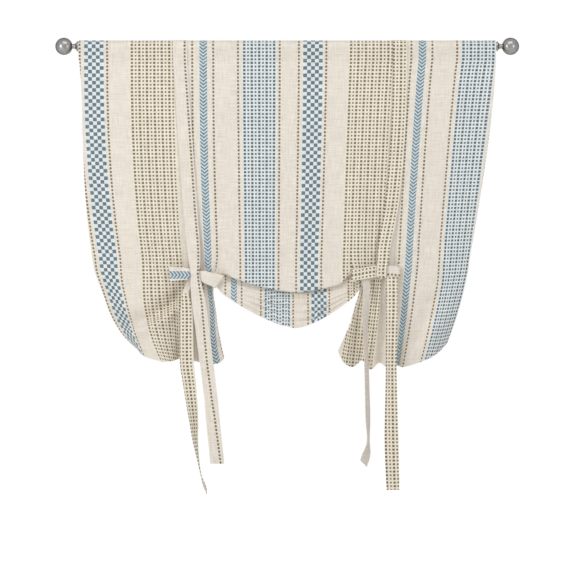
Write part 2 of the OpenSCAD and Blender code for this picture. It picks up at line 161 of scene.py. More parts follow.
def blend4(a, b, da, db, s):
    """Curve from a to b with the slopes da and db, s from 0 to 1."""
    return (a * (1 + s * s * (2 * s - 3)) + b * (s * s * (3 - 2 * s))
            + da * (s * (1 - s) ** 2) + db * (s * s * (s - 1)))


def ease_rows(rows, rounds, share):
    """Draws each row towards its neighbours; the first and the last row stay."""
    for _ in range(rounds):
        rows[1:-1] += (rows[:-2] + rows[2:] - 2 * rows[1:-1]) * share
    return rows


def path_length(points):
    """Length along a path at each of its points."""
    return np.r_[0, np.cumsum(np.linalg.norm(np.diff(points, axis=0), axis=1))]


def smooth_row(table, u):
    """Rows of a table at each u, smoothly between the table's own rows."""
    u = np.atleast_1d(u)
    last = len(table) - 1
    i = np.clip(np.searchsorted(table[:, 0], u, side="right") - 1, 0, last - 1)
    order = np.arange(last + 1)
    before, after = np.maximum(order - 1, 0), np.minimum(order + 1, last)
    slope = (table[after] - table[before]) / (table[after, :1] - table[before, :1])
    h = (table[i + 1, 0] - table[i, 0])[:, None]
    s = (u[:, None] - table[i, :1]) / h
    return blend4(table[i], table[i + 1], slope[i] * h, slope[i + 1] * h, s)


def creases(u, z):
    """Small uneven waves that hung linen has, as depth."""
    return (0.55 * np.sin(u / 31 + z / 190 + 0.7) + 0.4 * np.sin(u / 17.3 - z / 140 + 2.1)
            + 0.35 * np.sin(u / 53 + z / 47 + 4.0) + 0.25 * np.sin(u / 9.1 + z / 230 + 1.3))


def gathers(u):
    """Tight soft pleats that run up from the two knots."""
    deep = np.zeros_like(u)
    for knot, pitch in KNOT_PLEATS:
        d = (u - knot) / KNOT_PLEAT_REACH
        deep += KNOT_PLEAT_DEPTH * np.exp(-d * d) * np.sin((u - knot) / pitch * 2 * math.pi)
    return deep


def gather_x(u):
    """Where the cloth's place u lies at the gather."""
    return u * (1 - NARROWING) - GATHER_SHIFT - RIGHT_DRAW * np.maximum(u / HALF_W, 0) ** 6


def hang_points(u, t):
    """Cloth between the pocket's seam and the gather, t from 0 to 1."""
    z = -SEAM_DROP - (GATHER_DROP - SEAM_DROP) * t
    y = SEAM_Y + (smooth_row(SOFT_FOLDS, u)[:, 1] - SEAM_Y) * t * t
    y = y + creases(u, z) * ease(t * 3) + gathers(u) * ease((t - 0.35) / 0.65)
    return np.stack([u + (gather_x(u) - u) * t ** DRAW_POWER, y, np.full_like(u, z)], 1)


def side_points(folds, u, step):
    """Side piece below the gather."""
    f, g = smooth_row(folds, u), hang_points(u, 1.0)
    bow = np.stack([f[:, 1], f[:, 2] + gathers(u), np.full_like(u, -BOW_DROP)], 1)
    hem = f[:, 3:6]
    if step <= PINCH_STEPS:
        k = step / PINCH_STEPS
        return g + (bow - g) * np.array([k * k, k, k])
    s = (step - PINCH_STEPS) / (LOWER_STEPS - PINCH_STEPS)
    p = bow + (hem - bow) * s
    belly = (EDGE_BELLY * s * np.maximum(-u / HALF_W, 0) ** BELLY_POWER
             + FOLD_BULGE * np.exp(-((u - FOLD_BULGE_U) / FOLD_BULGE_W) ** 2))
    p[:, 0] -= (1 - s) * s * ((hem[:, 0] - bow[:, 0]) * SIDE_BOW + belly)
    p[:, 1] += creases(u * 1.4, p[:, 2]) * ease(s * 2)
    return p


def by_half(x, pair):
    """The first value in the swag's left half, the second in its right half."""
    return np.where(x < SWAG_X, *pair)


def notch_ease(x):
    """One at the swag's two ends, and zero away from them."""
    return ease(1 - np.abs(by_half(x, SWAG_ENDS) - x) / NOTCH_REACH)


def overhang_z(x, x_hem):
    """Height of the swag's fold."""
    rise = OVERHANG_RISE * (np.abs(x - SWAG_X) / OVERHANG_REACH) ** OVERHANG_POWER
    return -OVERHANG_DROP + rise + by_half(x, OVERHANG_LIFT) * notch_ease(x_hem)


def hem_z(x):
    """Height of the swag's hem."""
    rise = by_half(x, HEM_RISE) * (np.abs(x - SWAG_X) / by_half(x, HEM_REACH)) ** HEM_POWER
    return -SWAG_DROP + rise + HEM_LIFT * notch_ease(x)


def band_pleats(x_hem, shown):
    """Pleats across the band, from the swag's fold at 0 to the hem at 1."""
    wide = ease(1.3 - np.abs(x_hem - SWAG_X) / BAND_REACH)
    turn = (shown * BAND_TURNS * math.pi + 0.6 * np.sin(x_hem / 47 + 1)
            + 0.35 * np.sin(x_hem / 19))
    uneven = 0.75 + 0.25 * np.sin(x_hem / 33 + 7 * shown)
    pleats = (np.abs(np.sin(turn)) ** 0.5 - 0.7) * uneven
    return BAND_PLEAT * wide * pleats * ease(shown * 6) * ease((1 - shown) * 5 + 0.2)


def swag_points(u, step):
    """Swag below the gather: over its edge, tucked up behind, then down to the hem."""
    g = hang_points(u, 1.0)
    q = (u - LEFT_NOTCH[1]) / (RIGHT_NOTCH[0] - LEFT_NOTCH[1])
    x_hem = SWAG_ENDS[0] + (SWAG_ENDS[1] - SWAG_ENDS[0]) * q
    x_over = g[:, 0]
    z_over, z_hem = overhang_z(x_over, x_hem), hem_z(x_hem)
    tuck = np.minimum(TUCK_H, TUCK_LEAST + TUCK_SHARE * (z_over - z_hem))
    z_low, z_high = z_over + FOLD_R[0], z_over + tuck - FOLD_R[1]
    y_low = OVERHANG_Y + FOLD_R[0]
    y_high = y_low + FOLD_R[0] + FOLD_R[1]
    y_band = y_high + FOLD_R[1]
    x = x_over + (x_hem - x_over) * min(max((step - TUCK) / (BAND - TUCK), 0), 1)
    if step <= OVER:
        k = step / OVER
        y = g[:, 1] + (OVERHANG_Y - g[:, 1]) * ease(k)
        z = g[:, 2] + (z_low - g[:, 2]) * k
    elif step <= TUCK:
        a = (step - OVER) / (TUCK - OVER) * math.pi
        y, z = y_low - FOLD_R[0] * math.cos(a), z_low - FOLD_R[0] * math.sin(a)
    elif step <= TURN:
        y, z = y_low + FOLD_R[0], z_low + (z_high - z_low) * (step - TUCK) / (TURN - TUCK)
    elif step <= BAND:
        a = (step - TURN) / (BAND - TURN) * math.pi
        y, z = y_high - FOLD_R[1] * math.cos(a), z_high + FOLD_R[1] * math.sin(a)
    else:
        s = (step - BAND) / (LOWER_STEPS - BAND)
        z = z_high + (z_hem - z_high) * s
        shown = np.clip((z_over - z) / (z_over - z_hem), 0, 1)
        y = y_band - BAND_BELLY * np.sin(math.pi / 2 * np.minimum(shown / 0.5, 1))
        y = y - band_pleats(x_hem, shown)
    return np.stack([x, np.broadcast_to(y, x.shape), np.broadcast_to(z, x.shape)], 1)


def lower_points(u, step):
    """A whole row below the gather."""
    out = np.zeros((len(u), 3))
    left, right = u <= LEFT_NOTCH[0], u >= RIGHT_NOTCH[1]
    swag = (u >= LEFT_NOTCH[1]) & (u <= RIGHT_NOTCH[0])
    out[left] = side_points(LEFT_FOLDS, u[left], step)
    out[right] = side_points(RIGHT_FOLDS, u[right], step)
    out[swag] = swag_points(u[swag], step)
    webs = ((LEFT_FOLDS, LEFT_NOTCH[0], LEFT_NOTCH[1], WEB_BULGE[0]),
            (RIGHT_FOLDS, RIGHT_NOTCH[1], RIGHT_NOTCH[0], WEB_BULGE[1]))
    for folds, side_u, swag_u, way in webs:
        web = (u > min(side_u, swag_u)) & (u < max(side_u, swag_u))
        w = ((u[web] - side_u) / (swag_u - side_u))[:, None]
        a = side_points(folds, np.array([float(side_u)]), step)
        b = swag_points(np.array([float(swag_u)]), step)
        bulge = np.array([[way * step / LOWER_STEPS, WEB_DEPTH, 0]])
        out[web] = a + (b - a) * w + np.sin(math.pi * w) * bulge
    return out


def wrap_yz(angle):
    """Point of the pocket round the rod, which rises to a crease at its top."""
    a = math.radians(angle)
    r = WRAP_R + CREASE_RISE * max(math.sin(a), 0) ** CREASE_POWER
    return r * math.cos(a), r * math.sin(a)


# Rows of the panel, from the back of the seam over the rod to the hem
BACK_ROWS, WRAP_ROWS, FRONT_ROWS, HANG_ROWS, SUB = 5, 28, 5, 52, 4
TOP_ROW = BACK_ROWS + WRAP_ROWS // 2
FIRST_HANG = BACK_ROWS + WRAP_ROWS + 1 + FRONT_ROWS
MID_HANG = FIRST_HANG + 20
FIRST_LOWER = FIRST_HANG + HANG_ROWS
BOW_ROUNDS, BOW_SHARE = 30, 0.25


def panel_grid(u):
    """Middle surface of the panel for the given columns."""
    def straight(y, z):
        return np.stack([u, np.full_like(u, y), np.full_like(u, z)], 1)
    rows = []
    start, end = np.array([SEAM_Y + LAYER_Y, -SEAM_DROP]), np.array(wrap_yz(WRAP_START))
    for i in range(BACK_ROWS):
        rows.append(straight(*(start + (end - start) * i / BACK_ROWS)))
    for i in range(WRAP_ROWS + 1):
        rows.append(straight(*wrap_yz(WRAP_START + (WRAP_END - WRAP_START) * i / WRAP_ROWS)))
    start, end = np.array(wrap_yz(WRAP_END)), np.array([SEAM_Y, -SEAM_DROP])
    for i in range(1, FRONT_ROWS + 1):
        rows.append(straight(*(start + (end - start) * i / (FRONT_ROWS + 1))))
    for i in range(HANG_ROWS + 1):
        rows.append(hang_points(u, i / HANG_ROWS))
    for i in range(1, LOWER_STEPS * SUB + 1):
        rows.append(lower_points(u, i / SUB))
    grid = np.stack(rows)
    # The kink at the bow is eased over the rows of the side pieces
    sides = (u <= LEFT_NOTCH[0]) | (u >= RIGHT_NOTCH[1])
    grid[MID_HANG:, sides] = ease_rows(grid[MID_HANG:, sides], BOW_ROUNDS, BOW_SHARE)
    return grid


# Creases pressed into the hung cloth: points across and up, depth, width, and where it shows
LEFT_PIECE, RIGHT_PIECE, MIDDLE, BAND_ONLY = range(4)
VALLEYS = [
    ([(-270, -662), (-312, -708), (-352, -742), (-393, -768), (-436, -780), (-490, -788)],
     22, 15, LEFT_PIECE),
    ([(-304, -700), (-322, -780), (-326, -870)], 4.5, 14, LEFT_PIECE),
    ([(-420, -700), (-378, -800), (-368, -860)], 3.0, 22, LEFT_PIECE),
    ([(404, -690), (388, -770), (352, -848)], 13, 20, RIGHT_PIECE),
    ([(446, -640), (432, -720), (410, -800)], 5.0, 22, RIGHT_PIECE),
    ([(282, -668), (278, -760), (275, -850)], 4.0, 9, RIGHT_PIECE),
    ([(78, -634), (120, -637), (170, -629), (196, -626)], 3.2, 6, MIDDLE),
    ([(-196, -628), (-160, -632), (-120, -640)], 1.6, 8, MIDDLE),
    ([(-10, -700), (22, -724), (60, -703)], 3.0, 6, BAND_ONLY),
    ([(0, -716), (30, -736), (75, -722)], 2.4, 5, BAND_ONLY)]
STEEP, GENTLE = 0.75, 1.7
SWELL, SWELL_AT = 0.35, 1.6
FADE_PART = 0.25


def valley(x, z, path, depth, width):
    """Depth of a crease along a path, steeper on its lower side, with a swelling below it."""
    best = np.full(x.shape, 1e9)
    below, along = np.zeros(x.shape), np.zeros(x.shape)
    for i, ((ax, az), (bx, bz)) in enumerate(zip(path[:-1], path[1:])):
        dx, dz = bx - ax, bz - az
        t = np.clip(((x - ax) * dx + (z - az) * dz) / (dx * dx + dz * dz), 0, 1)
        d = np.hypot(x - ax - t * dx, z - az - t * dz)
        side = np.sign((x - ax) * dz - (z - az) * dx) * np.sign(dx + 0.1)
        near = d < best
        best, below = np.where(near, d, best), np.where(near, side, below)
        along = np.where(near, (i + t) / (len(path) - 1), along)
    fade = ease(np.minimum(along / FADE_PART, (1 - along) / FADE_PART) + 0.15)
    dip = np.exp(-(best / np.where(below > 0, width * STEEP, width * GENTLE)) ** 2)
    swell = SWELL * np.exp(-((best - SWELL_AT * width) / width) ** 2) * (below > 0)
    return depth * fade * (dip - swell)


def press_creases(grid, u):
    """Presses the creases in, each in the columns and rows of its place."""
    middle = (u > LEFT_NOTCH[1]) & (u < RIGHT_NOTCH[0])
    places = {
        LEFT_PIECE: (u < LEFT_NOTCH[0], FIRST_LOWER - 8, len(grid)),
        RIGHT_PIECE: (u > RIGHT_NOTCH[1], FIRST_LOWER - 8, len(grid)),
        MIDDLE: (middle, MID_HANG, FIRST_LOWER + OVER * SUB),
        BAND_ONLY: (middle, FIRST_LOWER + BAND * SUB, len(grid))}
    for path, depth, width, place in VALLEYS:
        cols, first, last = places[place]
        part = grid[first:last, cols]
        grid[first:last, cols, 1] += valley(part[..., 0], part[..., 2], path, depth, width)
    return grid


SOFT_ROUNDS, SOFT_SHARE = 30, 0.2


def soften_notches(grid, u):
    """Rounds the cloth off where the swag runs in behind the bows."""
    from_left = np.maximum(LEFT_NOTCH[0] - u, u - LEFT_NOTCH[1])
    from_right = np.maximum(RIGHT_NOTCH[0] - u, u - RIGHT_NOTCH[1])
    away = np.minimum(from_left, from_right)
    share = (ease((24 - away) / 14) * SOFT_SHARE)[None, 1:-1, None]
    first, last = FIRST_LOWER - 10, FIRST_LOWER + (BAND + 4) * SUB
    row = np.arange(last - first)
    fade = ease(np.minimum(row / 12, row[::-1] / 16))[1:-1, None, None]
    g = grid[first:last]
    for _ in range(SOFT_ROUNDS):
        pull = g[:-2, 1:-1] + g[2:, 1:-1] - 2 * g[1:-1, 1:-1]
        # Across the cloth only the depth and the height are drawn in
        pull[..., 1:] += (g[1:-1, :-2] + g[1:-1, 2:] - 2 * g[1:-1, 1:-1])[..., 1:]
        g[1:-1, 1:-1] += pull * share * fade
    return grid


def stretch(a, b, n):
    return a + (b - a) * np.arange(n) / n


COLUMNS = np.concatenate([
    stretch(-HALF_W, -FOLD_LINE, 40), stretch(-FOLD_LINE, LEFT_NOTCH[0], 38),
    stretch(*LEFT_NOTCH, 8), stretch(LEFT_NOTCH[1], RIGHT_NOTCH[0], 66), stretch(*RIGHT_NOTCH, 8),
    stretch(RIGHT_NOTCH[1], FOLD_LINE, 38), stretch(FOLD_LINE, HALF_W, 40), [float(HALF_W)]])


# Meshes

def add_object(name, data):
    obj = bpy.data.objects.new(name, data)
    bpy.context.collection.objects.link(obj)
    return obj


def grid_normals(grid):
    down = np.gradient(grid, axis=0)
    along = np.gradient(grid, axis=1)
    n = np.cross(down, along)
    return n / np.maximum(np.linalg.norm(n, axis=2, keepdims=True), 1e-9)


def quad_corners(values):
    """Values of a grid at the corners of each quad, in the order of the faces."""
    return np.stack([values[:-1, :-1], values[1:, :-1], values[1:, 1:], values[:-1, 1:]], 2)


# Places of the two materials on a cloth, and the angle up to which its edges are smoothed
FACE, BACK = 0, 1
EDGE_ANGLE = math.radians(60)


def cloth_object(name, grid, thick, uv, face_mats, mats):
    """Closed sheet around a grid. uv is given at each quad's corners, and face_mats gives
    each quad its material on the front and on the back."""
    rows, cols = grid.shape[:2]
    count = rows * cols
    n = grid_normals(grid)
    t = np.broadcast_to(np.asarray(thick, float), (rows, cols))[..., None] / 2
    verts = np.concatenate([(grid + n * t).reshape(-1, 3), (grid - n * t).reshape(-1, 3)]) * MM
    at = np.arange(count).reshape(rows, cols)

    def rim(a, b):
        return np.stack([a, a + count, b + count, b], 1)

    front, reverse = quad_corners(at), quad_corners(at + count)[:, :, ::-1]
    faces = np.concatenate([
        front.reshape(-1, 4), reverse.reshape(-1, 4),
        rim(at[0, 1:], at[0, :-1]), rim(at[-1, :-1], at[-1, 1:]),
        rim(at[:-1, 0], at[1:, 0]), rim(at[1:, -1], at[:-1, -1])])
    rim_uv = np.concatenate([uv[0][:, [3, 3, 0, 0]], uv[-1][:, [1, 1, 2, 2]],
                             uv[:, 0][:, [0, 0, 1, 1]], uv[:, -1][:, [2, 2, 3, 3]]])
    uvs = np.concatenate([uv.reshape(-1, 4, 2), uv[:, :, ::-1].reshape(-1, 4, 2), rim_uv])
    mesh = bpy.data.meshes.new(name)
    mesh.from_pydata(verts.tolist(), [], faces.tolist())
    layer = mesh.uv_layers.new(name="cloth")
    layer.data.foreach_set("uv", uvs.astype(np.float32).ravel())
    sides = np.broadcast_to(face_mats, (rows - 1, cols - 1, 2))
    index = np.concatenate([sides[..., 0].ravel(), sides[..., 1].ravel(),
                            np.full(len(rim_uv), FACE)])
    for m in mats:
        mesh.materials.append(m)
    mesh.polygons.foreach_set("material_index", index.astype(np.int32))
    mesh.polygons.foreach_set("use_smooth", np.ones(len(faces), bool))
    mesh.set_sharp_from_angle(angle=EDGE_ANGLE)
    mesh.validate()
    return add_object(name, mesh)


STITCH_LENGTH, STITCH_PITCH, STITCH_R, STITCH_WIDE = 3.2, 4.6, 0.3, 1.15
STITCH_SIDES = 6
# Rings of a stitch: place along its half, share of its radius, and lift
STITCH_RINGS = ((-1, 0.25, -0.6), (-0.7, 0.8, 0), (0, 1, 0.35), (0.7, 0.8, 0), (1, 0.25, -0.6))


def stitch_object(name, paths, mat):
    """Rows of short raised stitches. Each path is points and normals."""
    verts, faces = [], []
    angles = np.linspace(0, 2 * math.pi, STITCH_SIDES, endpoint=False)
    ring = [(math.cos(a), math.sin(a)) for a in angles]
    last = (len(STITCH_RINGS) - 1) * STITCH_SIDES

    def along_path(s, d, values):
        return np.array([np.interp(s, d, values[:, j]) for j in range(3)])

    for points, normals in paths:
        d = path_length(points)
        for s in np.arange(STITCH_PITCH / 2, d[-1] - STITCH_PITCH / 2, STITCH_PITCH):
            mids = [along_path(s + k * STITCH_LENGTH / 2, d, points) for k, _, _ in STITCH_RINGS]
            n = along_path(s, d, normals)
            n /= np.linalg.norm(n)
            along = mids[-1] - mids[0]
            side = np.cross(n, along / np.linalg.norm(along))
            base = len(verts)
            for p, (_, r, lift) in zip(mids, STITCH_RINGS):
                c = p + n * STITCH_R * lift
                verts.extend((c + (side * x * STITCH_WIDE + n * y) * STITCH_R * r) * MM
                             for x, y in ring)
            for k in range(base, base + last, STITCH_SIDES):
                for i in range(STITCH_SIDES):
                    a, b = k + i, k + (i + 1) % STITCH_SIDES
                    faces.append((a, b, b + STITCH_SIDES, a + STITCH_SIDES))
            faces.append(tuple(base + i for i in range(STITCH_SIDES - 1, -1, -1)))
            faces.append(tuple(base + last + i for i in range(STITCH_SIDES)))
    mesh = bpy.data.meshes.new(name)
    mesh.from_pydata([tuple(v) for v in verts], [], faces)
    mesh.polygons.foreach_set("use_smooth", np.ones(len(faces), bool))
    mesh.materials.append(mat)
    return add_object(name, mesh)


# Materials

def linear(r, g, b):
    """Colour from 0 to 255 as seen on screen, in linear light."""
    def one(c):
        c /= 255
        return c / 12.92 if c <= 0.04045 else ((c + 0.055) / 1.055) ** 2.4
    return one(r), one(g), one(b), 1.0


CREAM = linear(234, 226, 214)
WARM = linear(239, 230, 213)
PALE = linear(227, 233, 234)
BROWN = linear(122, 109, 83)
SLATE = linear(108, 126, 136)
INK = linear(91, 104, 109)
SKY = linear(172, 197, 209)
REVERSE = linear(214, 206, 195)
# Dark edge tint of all the nickel: it dims the reflection at grazing angles, a painted dark rim
# in place of the shade of dark surroundings
PAINTED_DARK_RIM_TINT = linear(110, 109, 107)


class Shade:
    """Joins shader nodes, so that a pattern reads as a formula."""

    def __init__(self, name):
        self.material = bpy.data.materials.new(name)
        self.material.use_nodes = True
        self.tree = self.material.node_tree
        self.skin = self.tree.nodes["Principled BSDF"]

    def node(self, kind, **values):
        n = self.tree.nodes.new(kind)
        for k, v in values.items():
            setattr(n, k, v)
        return n

    def plug(self, value, socket):
        if isinstance(value, bpy.types.NodeSocket):
            self.tree.links.new(value, socket)
        else:
            socket.default_value = value

    def math(self, op, *values):
        n = self.node("ShaderNodeMath", operation=op)
        for v, s in zip(values, n.inputs):
            self.plug(v, s)
        return n.outputs[0]

    def add(self, a, b):
        return self.math("ADD", a, b)

    def mul(self, a, b):
        return self.math("MULTIPLY", a, b)

    def near(self, a, centre, half):
        """One where a is within half of centre."""
        return self.math("COMPARE", a, centre, half)

    def parity(self, a):
        """Zero where the whole number a is even, one where it is odd."""
        return self.math("FLOORED_MODULO", a, 2)

    def either(self, *masks):
        out = masks[0]
        for m in masks[1:]:
            out = self.math("MAXIMUM", out, m)
        return out

    def mix(self, share, a, b):
        n = self.node("ShaderNodeMix", data_type="RGBA")
        self.plug(share, n.inputs[0])
        self.plug(a, n.inputs[6])
        self.plug(b, n.inputs[7])
        return n.outputs[2]

    def place(self):
        return self.node("ShaderNodeTexCoord").outputs["Object"]

    def noise(self, vector, scale, detail=2.0):
        m = self.node("ShaderNodeMapping")
        self.plug(vector, m.inputs[0])
        self.plug(scale, m.inputs[3])
        n = self.node("ShaderNodeTexNoise")
        self.plug(1, n.inputs["Scale"])
        self.plug(detail, n.inputs["Detail"])
        self.plug(m.outputs[0], n.inputs["Vector"])
        return n.outputs["Fac"]

    def bump(self, height, strength, distance):
        n = self.node("ShaderNodeBump")
        self.plug(strength, n.inputs["Strength"])
        self.plug(distance, n.inputs["Distance"])
        self.plug(height, n.inputs["Height"])
        self.plug(n.outputs[0], self.skin.inputs["Normal"])

    def set(self, **values):
        for k, v in values.items():
            self.plug(v, self.skin.inputs[k.replace("_", " ").title().replace("Ior", "IOR")])


# The print across its repeat, which starts at PRINT_START on the cloth, and along the cloth
REPEAT, PRINT_START, PRINT_SPILL = 613.2, -583, 8
LINES, LINE_HALF = (2.4, 79.2, 317.2, 376, 445.2, 562), 2.7
LINE_PITCH, DOT_START, LINE_DOT = 10.2, 4.6, 0.29
# Grids of dots: first column, number of columns, pitch, smaller dot's half, ground's margin
BROWN_GRID = (148.4, 12, 10.44, 0.23, 3)
BLUE_GRID = (462.8, 9, 10.46, 0.25, 1.5)
DOT_STEP = 0.07
CHECK_LEFT, CHECK_W, CHECK_START, CHECK_H = 14.6, 10.95, 8.0, 10.3
CHECK_MID, CHECK_HALF, CHECK_GROUND, CHECK_FILL = 42, 27.4, 28.5, 0.492
CHEVRON_MID, CHEVRON_HALF, CHEVRON_GROUND = 348, 10.6, 11.4
CHEVRON_PITCH, CHEVRON_SLOPE = 9.9, 0.85
UNEVEN = 1.6


def linen(name, printed):
    """Slubbed linen. printed is how strongly the striped print shows, from 0 to 1."""
    k = Shade(name)
    uv = k.node("ShaderNodeUVMap", uv_map="cloth").outputs[0]
    split = k.node("ShaderNodeSeparateXYZ")
    k.plug(uv, split.inputs[0])
    # Threads run both ways, thicker in places, and the print follows them a little unevenly
    weft, warp = k.noise(uv, (24, 300, 1)), k.noise(uv, (300, 24, 1))
    fine = k.add(k.noise(uv, (300, 2100, 1), 1.0), k.noise(uv, (2100, 300, 1), 1.0))
    cloudy = k.noise(uv, (9, 7, 1), 3.0)
    shift = k.add(k.noise(uv, (260, 260, 1), 1.0), -0.5)
    u = k.add(k.mul(split.outputs[0], 1000), k.mul(shift, UNEVEN))
    v = k.add(k.mul(split.outputs[1], 1000), k.mul(shift, -UNEVEN))
    p = k.math("WRAP", k.add(u, -PRINT_START), REPEAT - PRINT_SPILL, -PRINT_SPILL)
    dot_v = k.math("FRACT", k.mul(k.add(v, -DOT_START), 1 / LINE_PITCH))

    lines = k.either(*[k.near(p, c, LINE_HALF) for c in LINES])
    lines = k.mul(lines, k.near(dot_v, 0.5, LINE_DOT))

    def grid(start, columns, pitch, least, margin):
        """Columns of dots, every second column smaller, and the band of ground under them."""
        across = k.mul(k.add(p, pitch / 2 - start), 1 / pitch)
        small = k.parity(k.math("FLOOR", across))
        size = k.add(k.mul(small, -DOT_STEP), least + DOT_STEP)
        dots = k.mul(k.near(k.math("FRACT", across), 0.5, size), k.near(dot_v, 0.5, size))
        middle, half = start + (columns - 1) * pitch / 2, columns * pitch / 2
        return k.mul(dots, k.near(p, middle, half)), k.near(p, middle, half + margin)

    brown_dots, brown_band = grid(*BROWN_GRID)
    blue_dots, blue_band = grid(*BLUE_GRID)

    cell_u = k.mul(k.add(p, -CHECK_LEFT), 1 / CHECK_W)
    cell_v = k.mul(k.add(v, -CHECK_START), 1 / CHECK_H)
    odd = k.parity(k.add(k.math("FLOOR", cell_u), k.math("FLOOR", cell_v)))
    square = k.mul(k.near(k.math("FRACT", cell_u), 0.5, CHECK_FILL),
                   k.near(k.math("FRACT", cell_v), 0.5, CHECK_FILL))
    checks = k.mul(k.mul(odd, square), k.near(p, CHECK_MID, CHECK_HALF))
    check_band = k.near(p, CHECK_MID, CHECK_GROUND)

    off = k.math("ABSOLUTE", k.add(p, -CHEVRON_MID))
    turn = k.math("FRACT", k.mul(k.add(v, k.mul(off, CHEVRON_SLOPE)), 1 / CHEVRON_PITCH))
    in_chevrons = k.near(p, CHEVRON_MID, CHEVRON_HALF)
    chevron_band = k.near(p, CHEVRON_MID, CHEVRON_GROUND)
    dark_chevrons = k.mul(k.near(turn, 0.3, 0.23), in_chevrons)
    light_chevrons = k.mul(k.near(turn, 0.68, 0.13), in_chevrons)

    ground = k.mix(brown_band, CREAM, WARM)
    ground = k.mix(k.either(blue_band, check_band, chevron_band), ground, PALE)
    ink = k.mix(light_chevrons, ground, SKY)
    ink = k.mix(k.either(lines, brown_dots), ink, BROWN)
    ink = k.mix(k.either(checks, dark_chevrons), ink, SLATE)
    ink = k.mix(blue_dots, ink, INK)
    colour = k.mix(printed, CREAM if printed > 0.5 else REVERSE, ink)

    tone = k.add(k.mul(k.add(k.add(weft, warp), -1), 0.34), k.mul(k.add(fine, -1), 0.12))
    tone = k.add(k.add(tone, k.mul(k.add(cloudy, -0.5), 0.07)), 1)
    shade = k.node("ShaderNodeVectorMath", operation="SCALE")
    k.plug(colour, shade.inputs[0])
    k.plug(tone, shade.inputs["Scale"])
    k.set(base_color=shade.outputs[0], roughness=0.88, sheen_weight=0.12, sheen_roughness=0.5,
          specular_ior_level=0.2)
    k.bump(k.add(k.mul(k.add(weft, warp), 0.35), fine), 0.35, 0.0004)
    return k.material


def nickel(name, tint, rough):
    """Satin nickel with a fine pebbled bloom."""
    k = Shade(name)
    where = k.place()
    mottle, grain = k.noise(where, (160, 160, 160), 4.0), k.noise(where, (900, 900, 900), 2.0)
    both = k.add(k.mul(mottle, 0.65), k.mul(grain, 0.35))
    dark, light = linear(*[c - 42 for c in tint]), linear(*[c + 34 for c in tint])
    # The dark edge tint paints a dark rim on the metal's reflection towards its edges
    k.set(base_color=k.mix(both, dark, light), metallic=1.0, specular_tint=PAINTED_DARK_RIM_TINT,
          roughness=k.add(k.mul(both, 0.25), rough - 0.12))
    k.bump(both, 0.16, 0.0005)
    return k.material


def nylon(name):
    """Moulded nylon with a faint grain."""
    k = Shade(name)
    grain = k.noise(k.place(), (400, 400, 400), 3.0)
    k.set(base_color=k.mix(grain, linear(214, 214, 209), linear(226, 226, 221)), roughness=0.55)
    k.bump(grain, 0.08, 0.0003)
    return k.material


def thread(name):
    """Twisted sewing thread."""
    k = Shade(name)
    twist = k.noise(k.place(), (1400, 1400, 500), 2.0)
    k.set(base_color=k.mix(twist, linear(214, 205, 190), linear(240, 233, 221)), roughness=0.75,
          sheen_weight=0.2)
    k.bump(twist, 0.3, 0.0002)
    return k.material


def coat(node_name, material):
    mats = nodes[node_name].data.materials
    mats.clear()
    mats.append(material)


face, back = linen("printed_linen_face", 1.0), linen("printed_linen_reverse", 0.16)
sewing = thread("cream_thread")
for node_name in ("left_finial", "right_finial"):
    coat(node_name, nickel("satin_nickel_" + node_name, (140, 139, 137), 0.29))
for node_name in ("outer_rod_tube", "inner_rod_tube"):
    coat(node_name, nickel("satin_nickel_" + node_name, (158, 157, 155), 0.36))
for node_name in ("rod_guide_bush", "left_end_plug", "right_end_plug"):
    coat(node_name, nylon("nylon_" + node_name))


# The panel

# The left edge sways a little on its way down: height, and how far it moves across
LEFT_SWAY = np.array([
    [-710, 0], [-640, -3], [-582, -6], [-525, -7.5], [-470, -8], [-386, -6.2], [-302, -2],
    [-217, 0.8], [-161, 4], [-105, 5], [-50, 2.5], [-30, 0]])
SWAY_FROM, SWAY_WIDTH = 500, 70
# The print on the band is drawn closer together, about BAND_MID
BAND_MID, BAND_DRAW = 33, 0.775
# The right piece's inner wing, up to WING_U, keeps its print's own width
WING_U, WING_STEPS = 275, 8
# Near the left notch the print slides behind the fold
SLIDE, SLIDE_U, SLIDE_WIDTH = 22, -285, 45
# How much later the stripes lean in on the left, earlier on the right, later at its edge
LEFT_SLANT, RIGHT_SLANT, EDGE_SLANT = 0.9, 0.55, 0.25
# Turned hems: width, the ease of their step, and how much thicker they are
HEM_W, HEM_EASE, HEM_EXTRA = 20, 5, 0.5

panel = press_creases(soften_notches(panel_grid(COLUMNS), COLUMNS), COLUMNS)
sway = (np.interp(panel[..., 2], LEFT_SWAY[:, 0], LEFT_SWAY[:, 1])
        * ease((-COLUMNS - SWAY_FROM) / SWAY_WIDTH))
panel[..., 0] += sway
steps_down = np.linalg.norm(np.diff(panel, axis=0), axis=2)
run = np.r_[np.zeros((1, len(COLUMNS))), np.cumsum(steps_down, 0)]
run -= run[TOP_ROW]


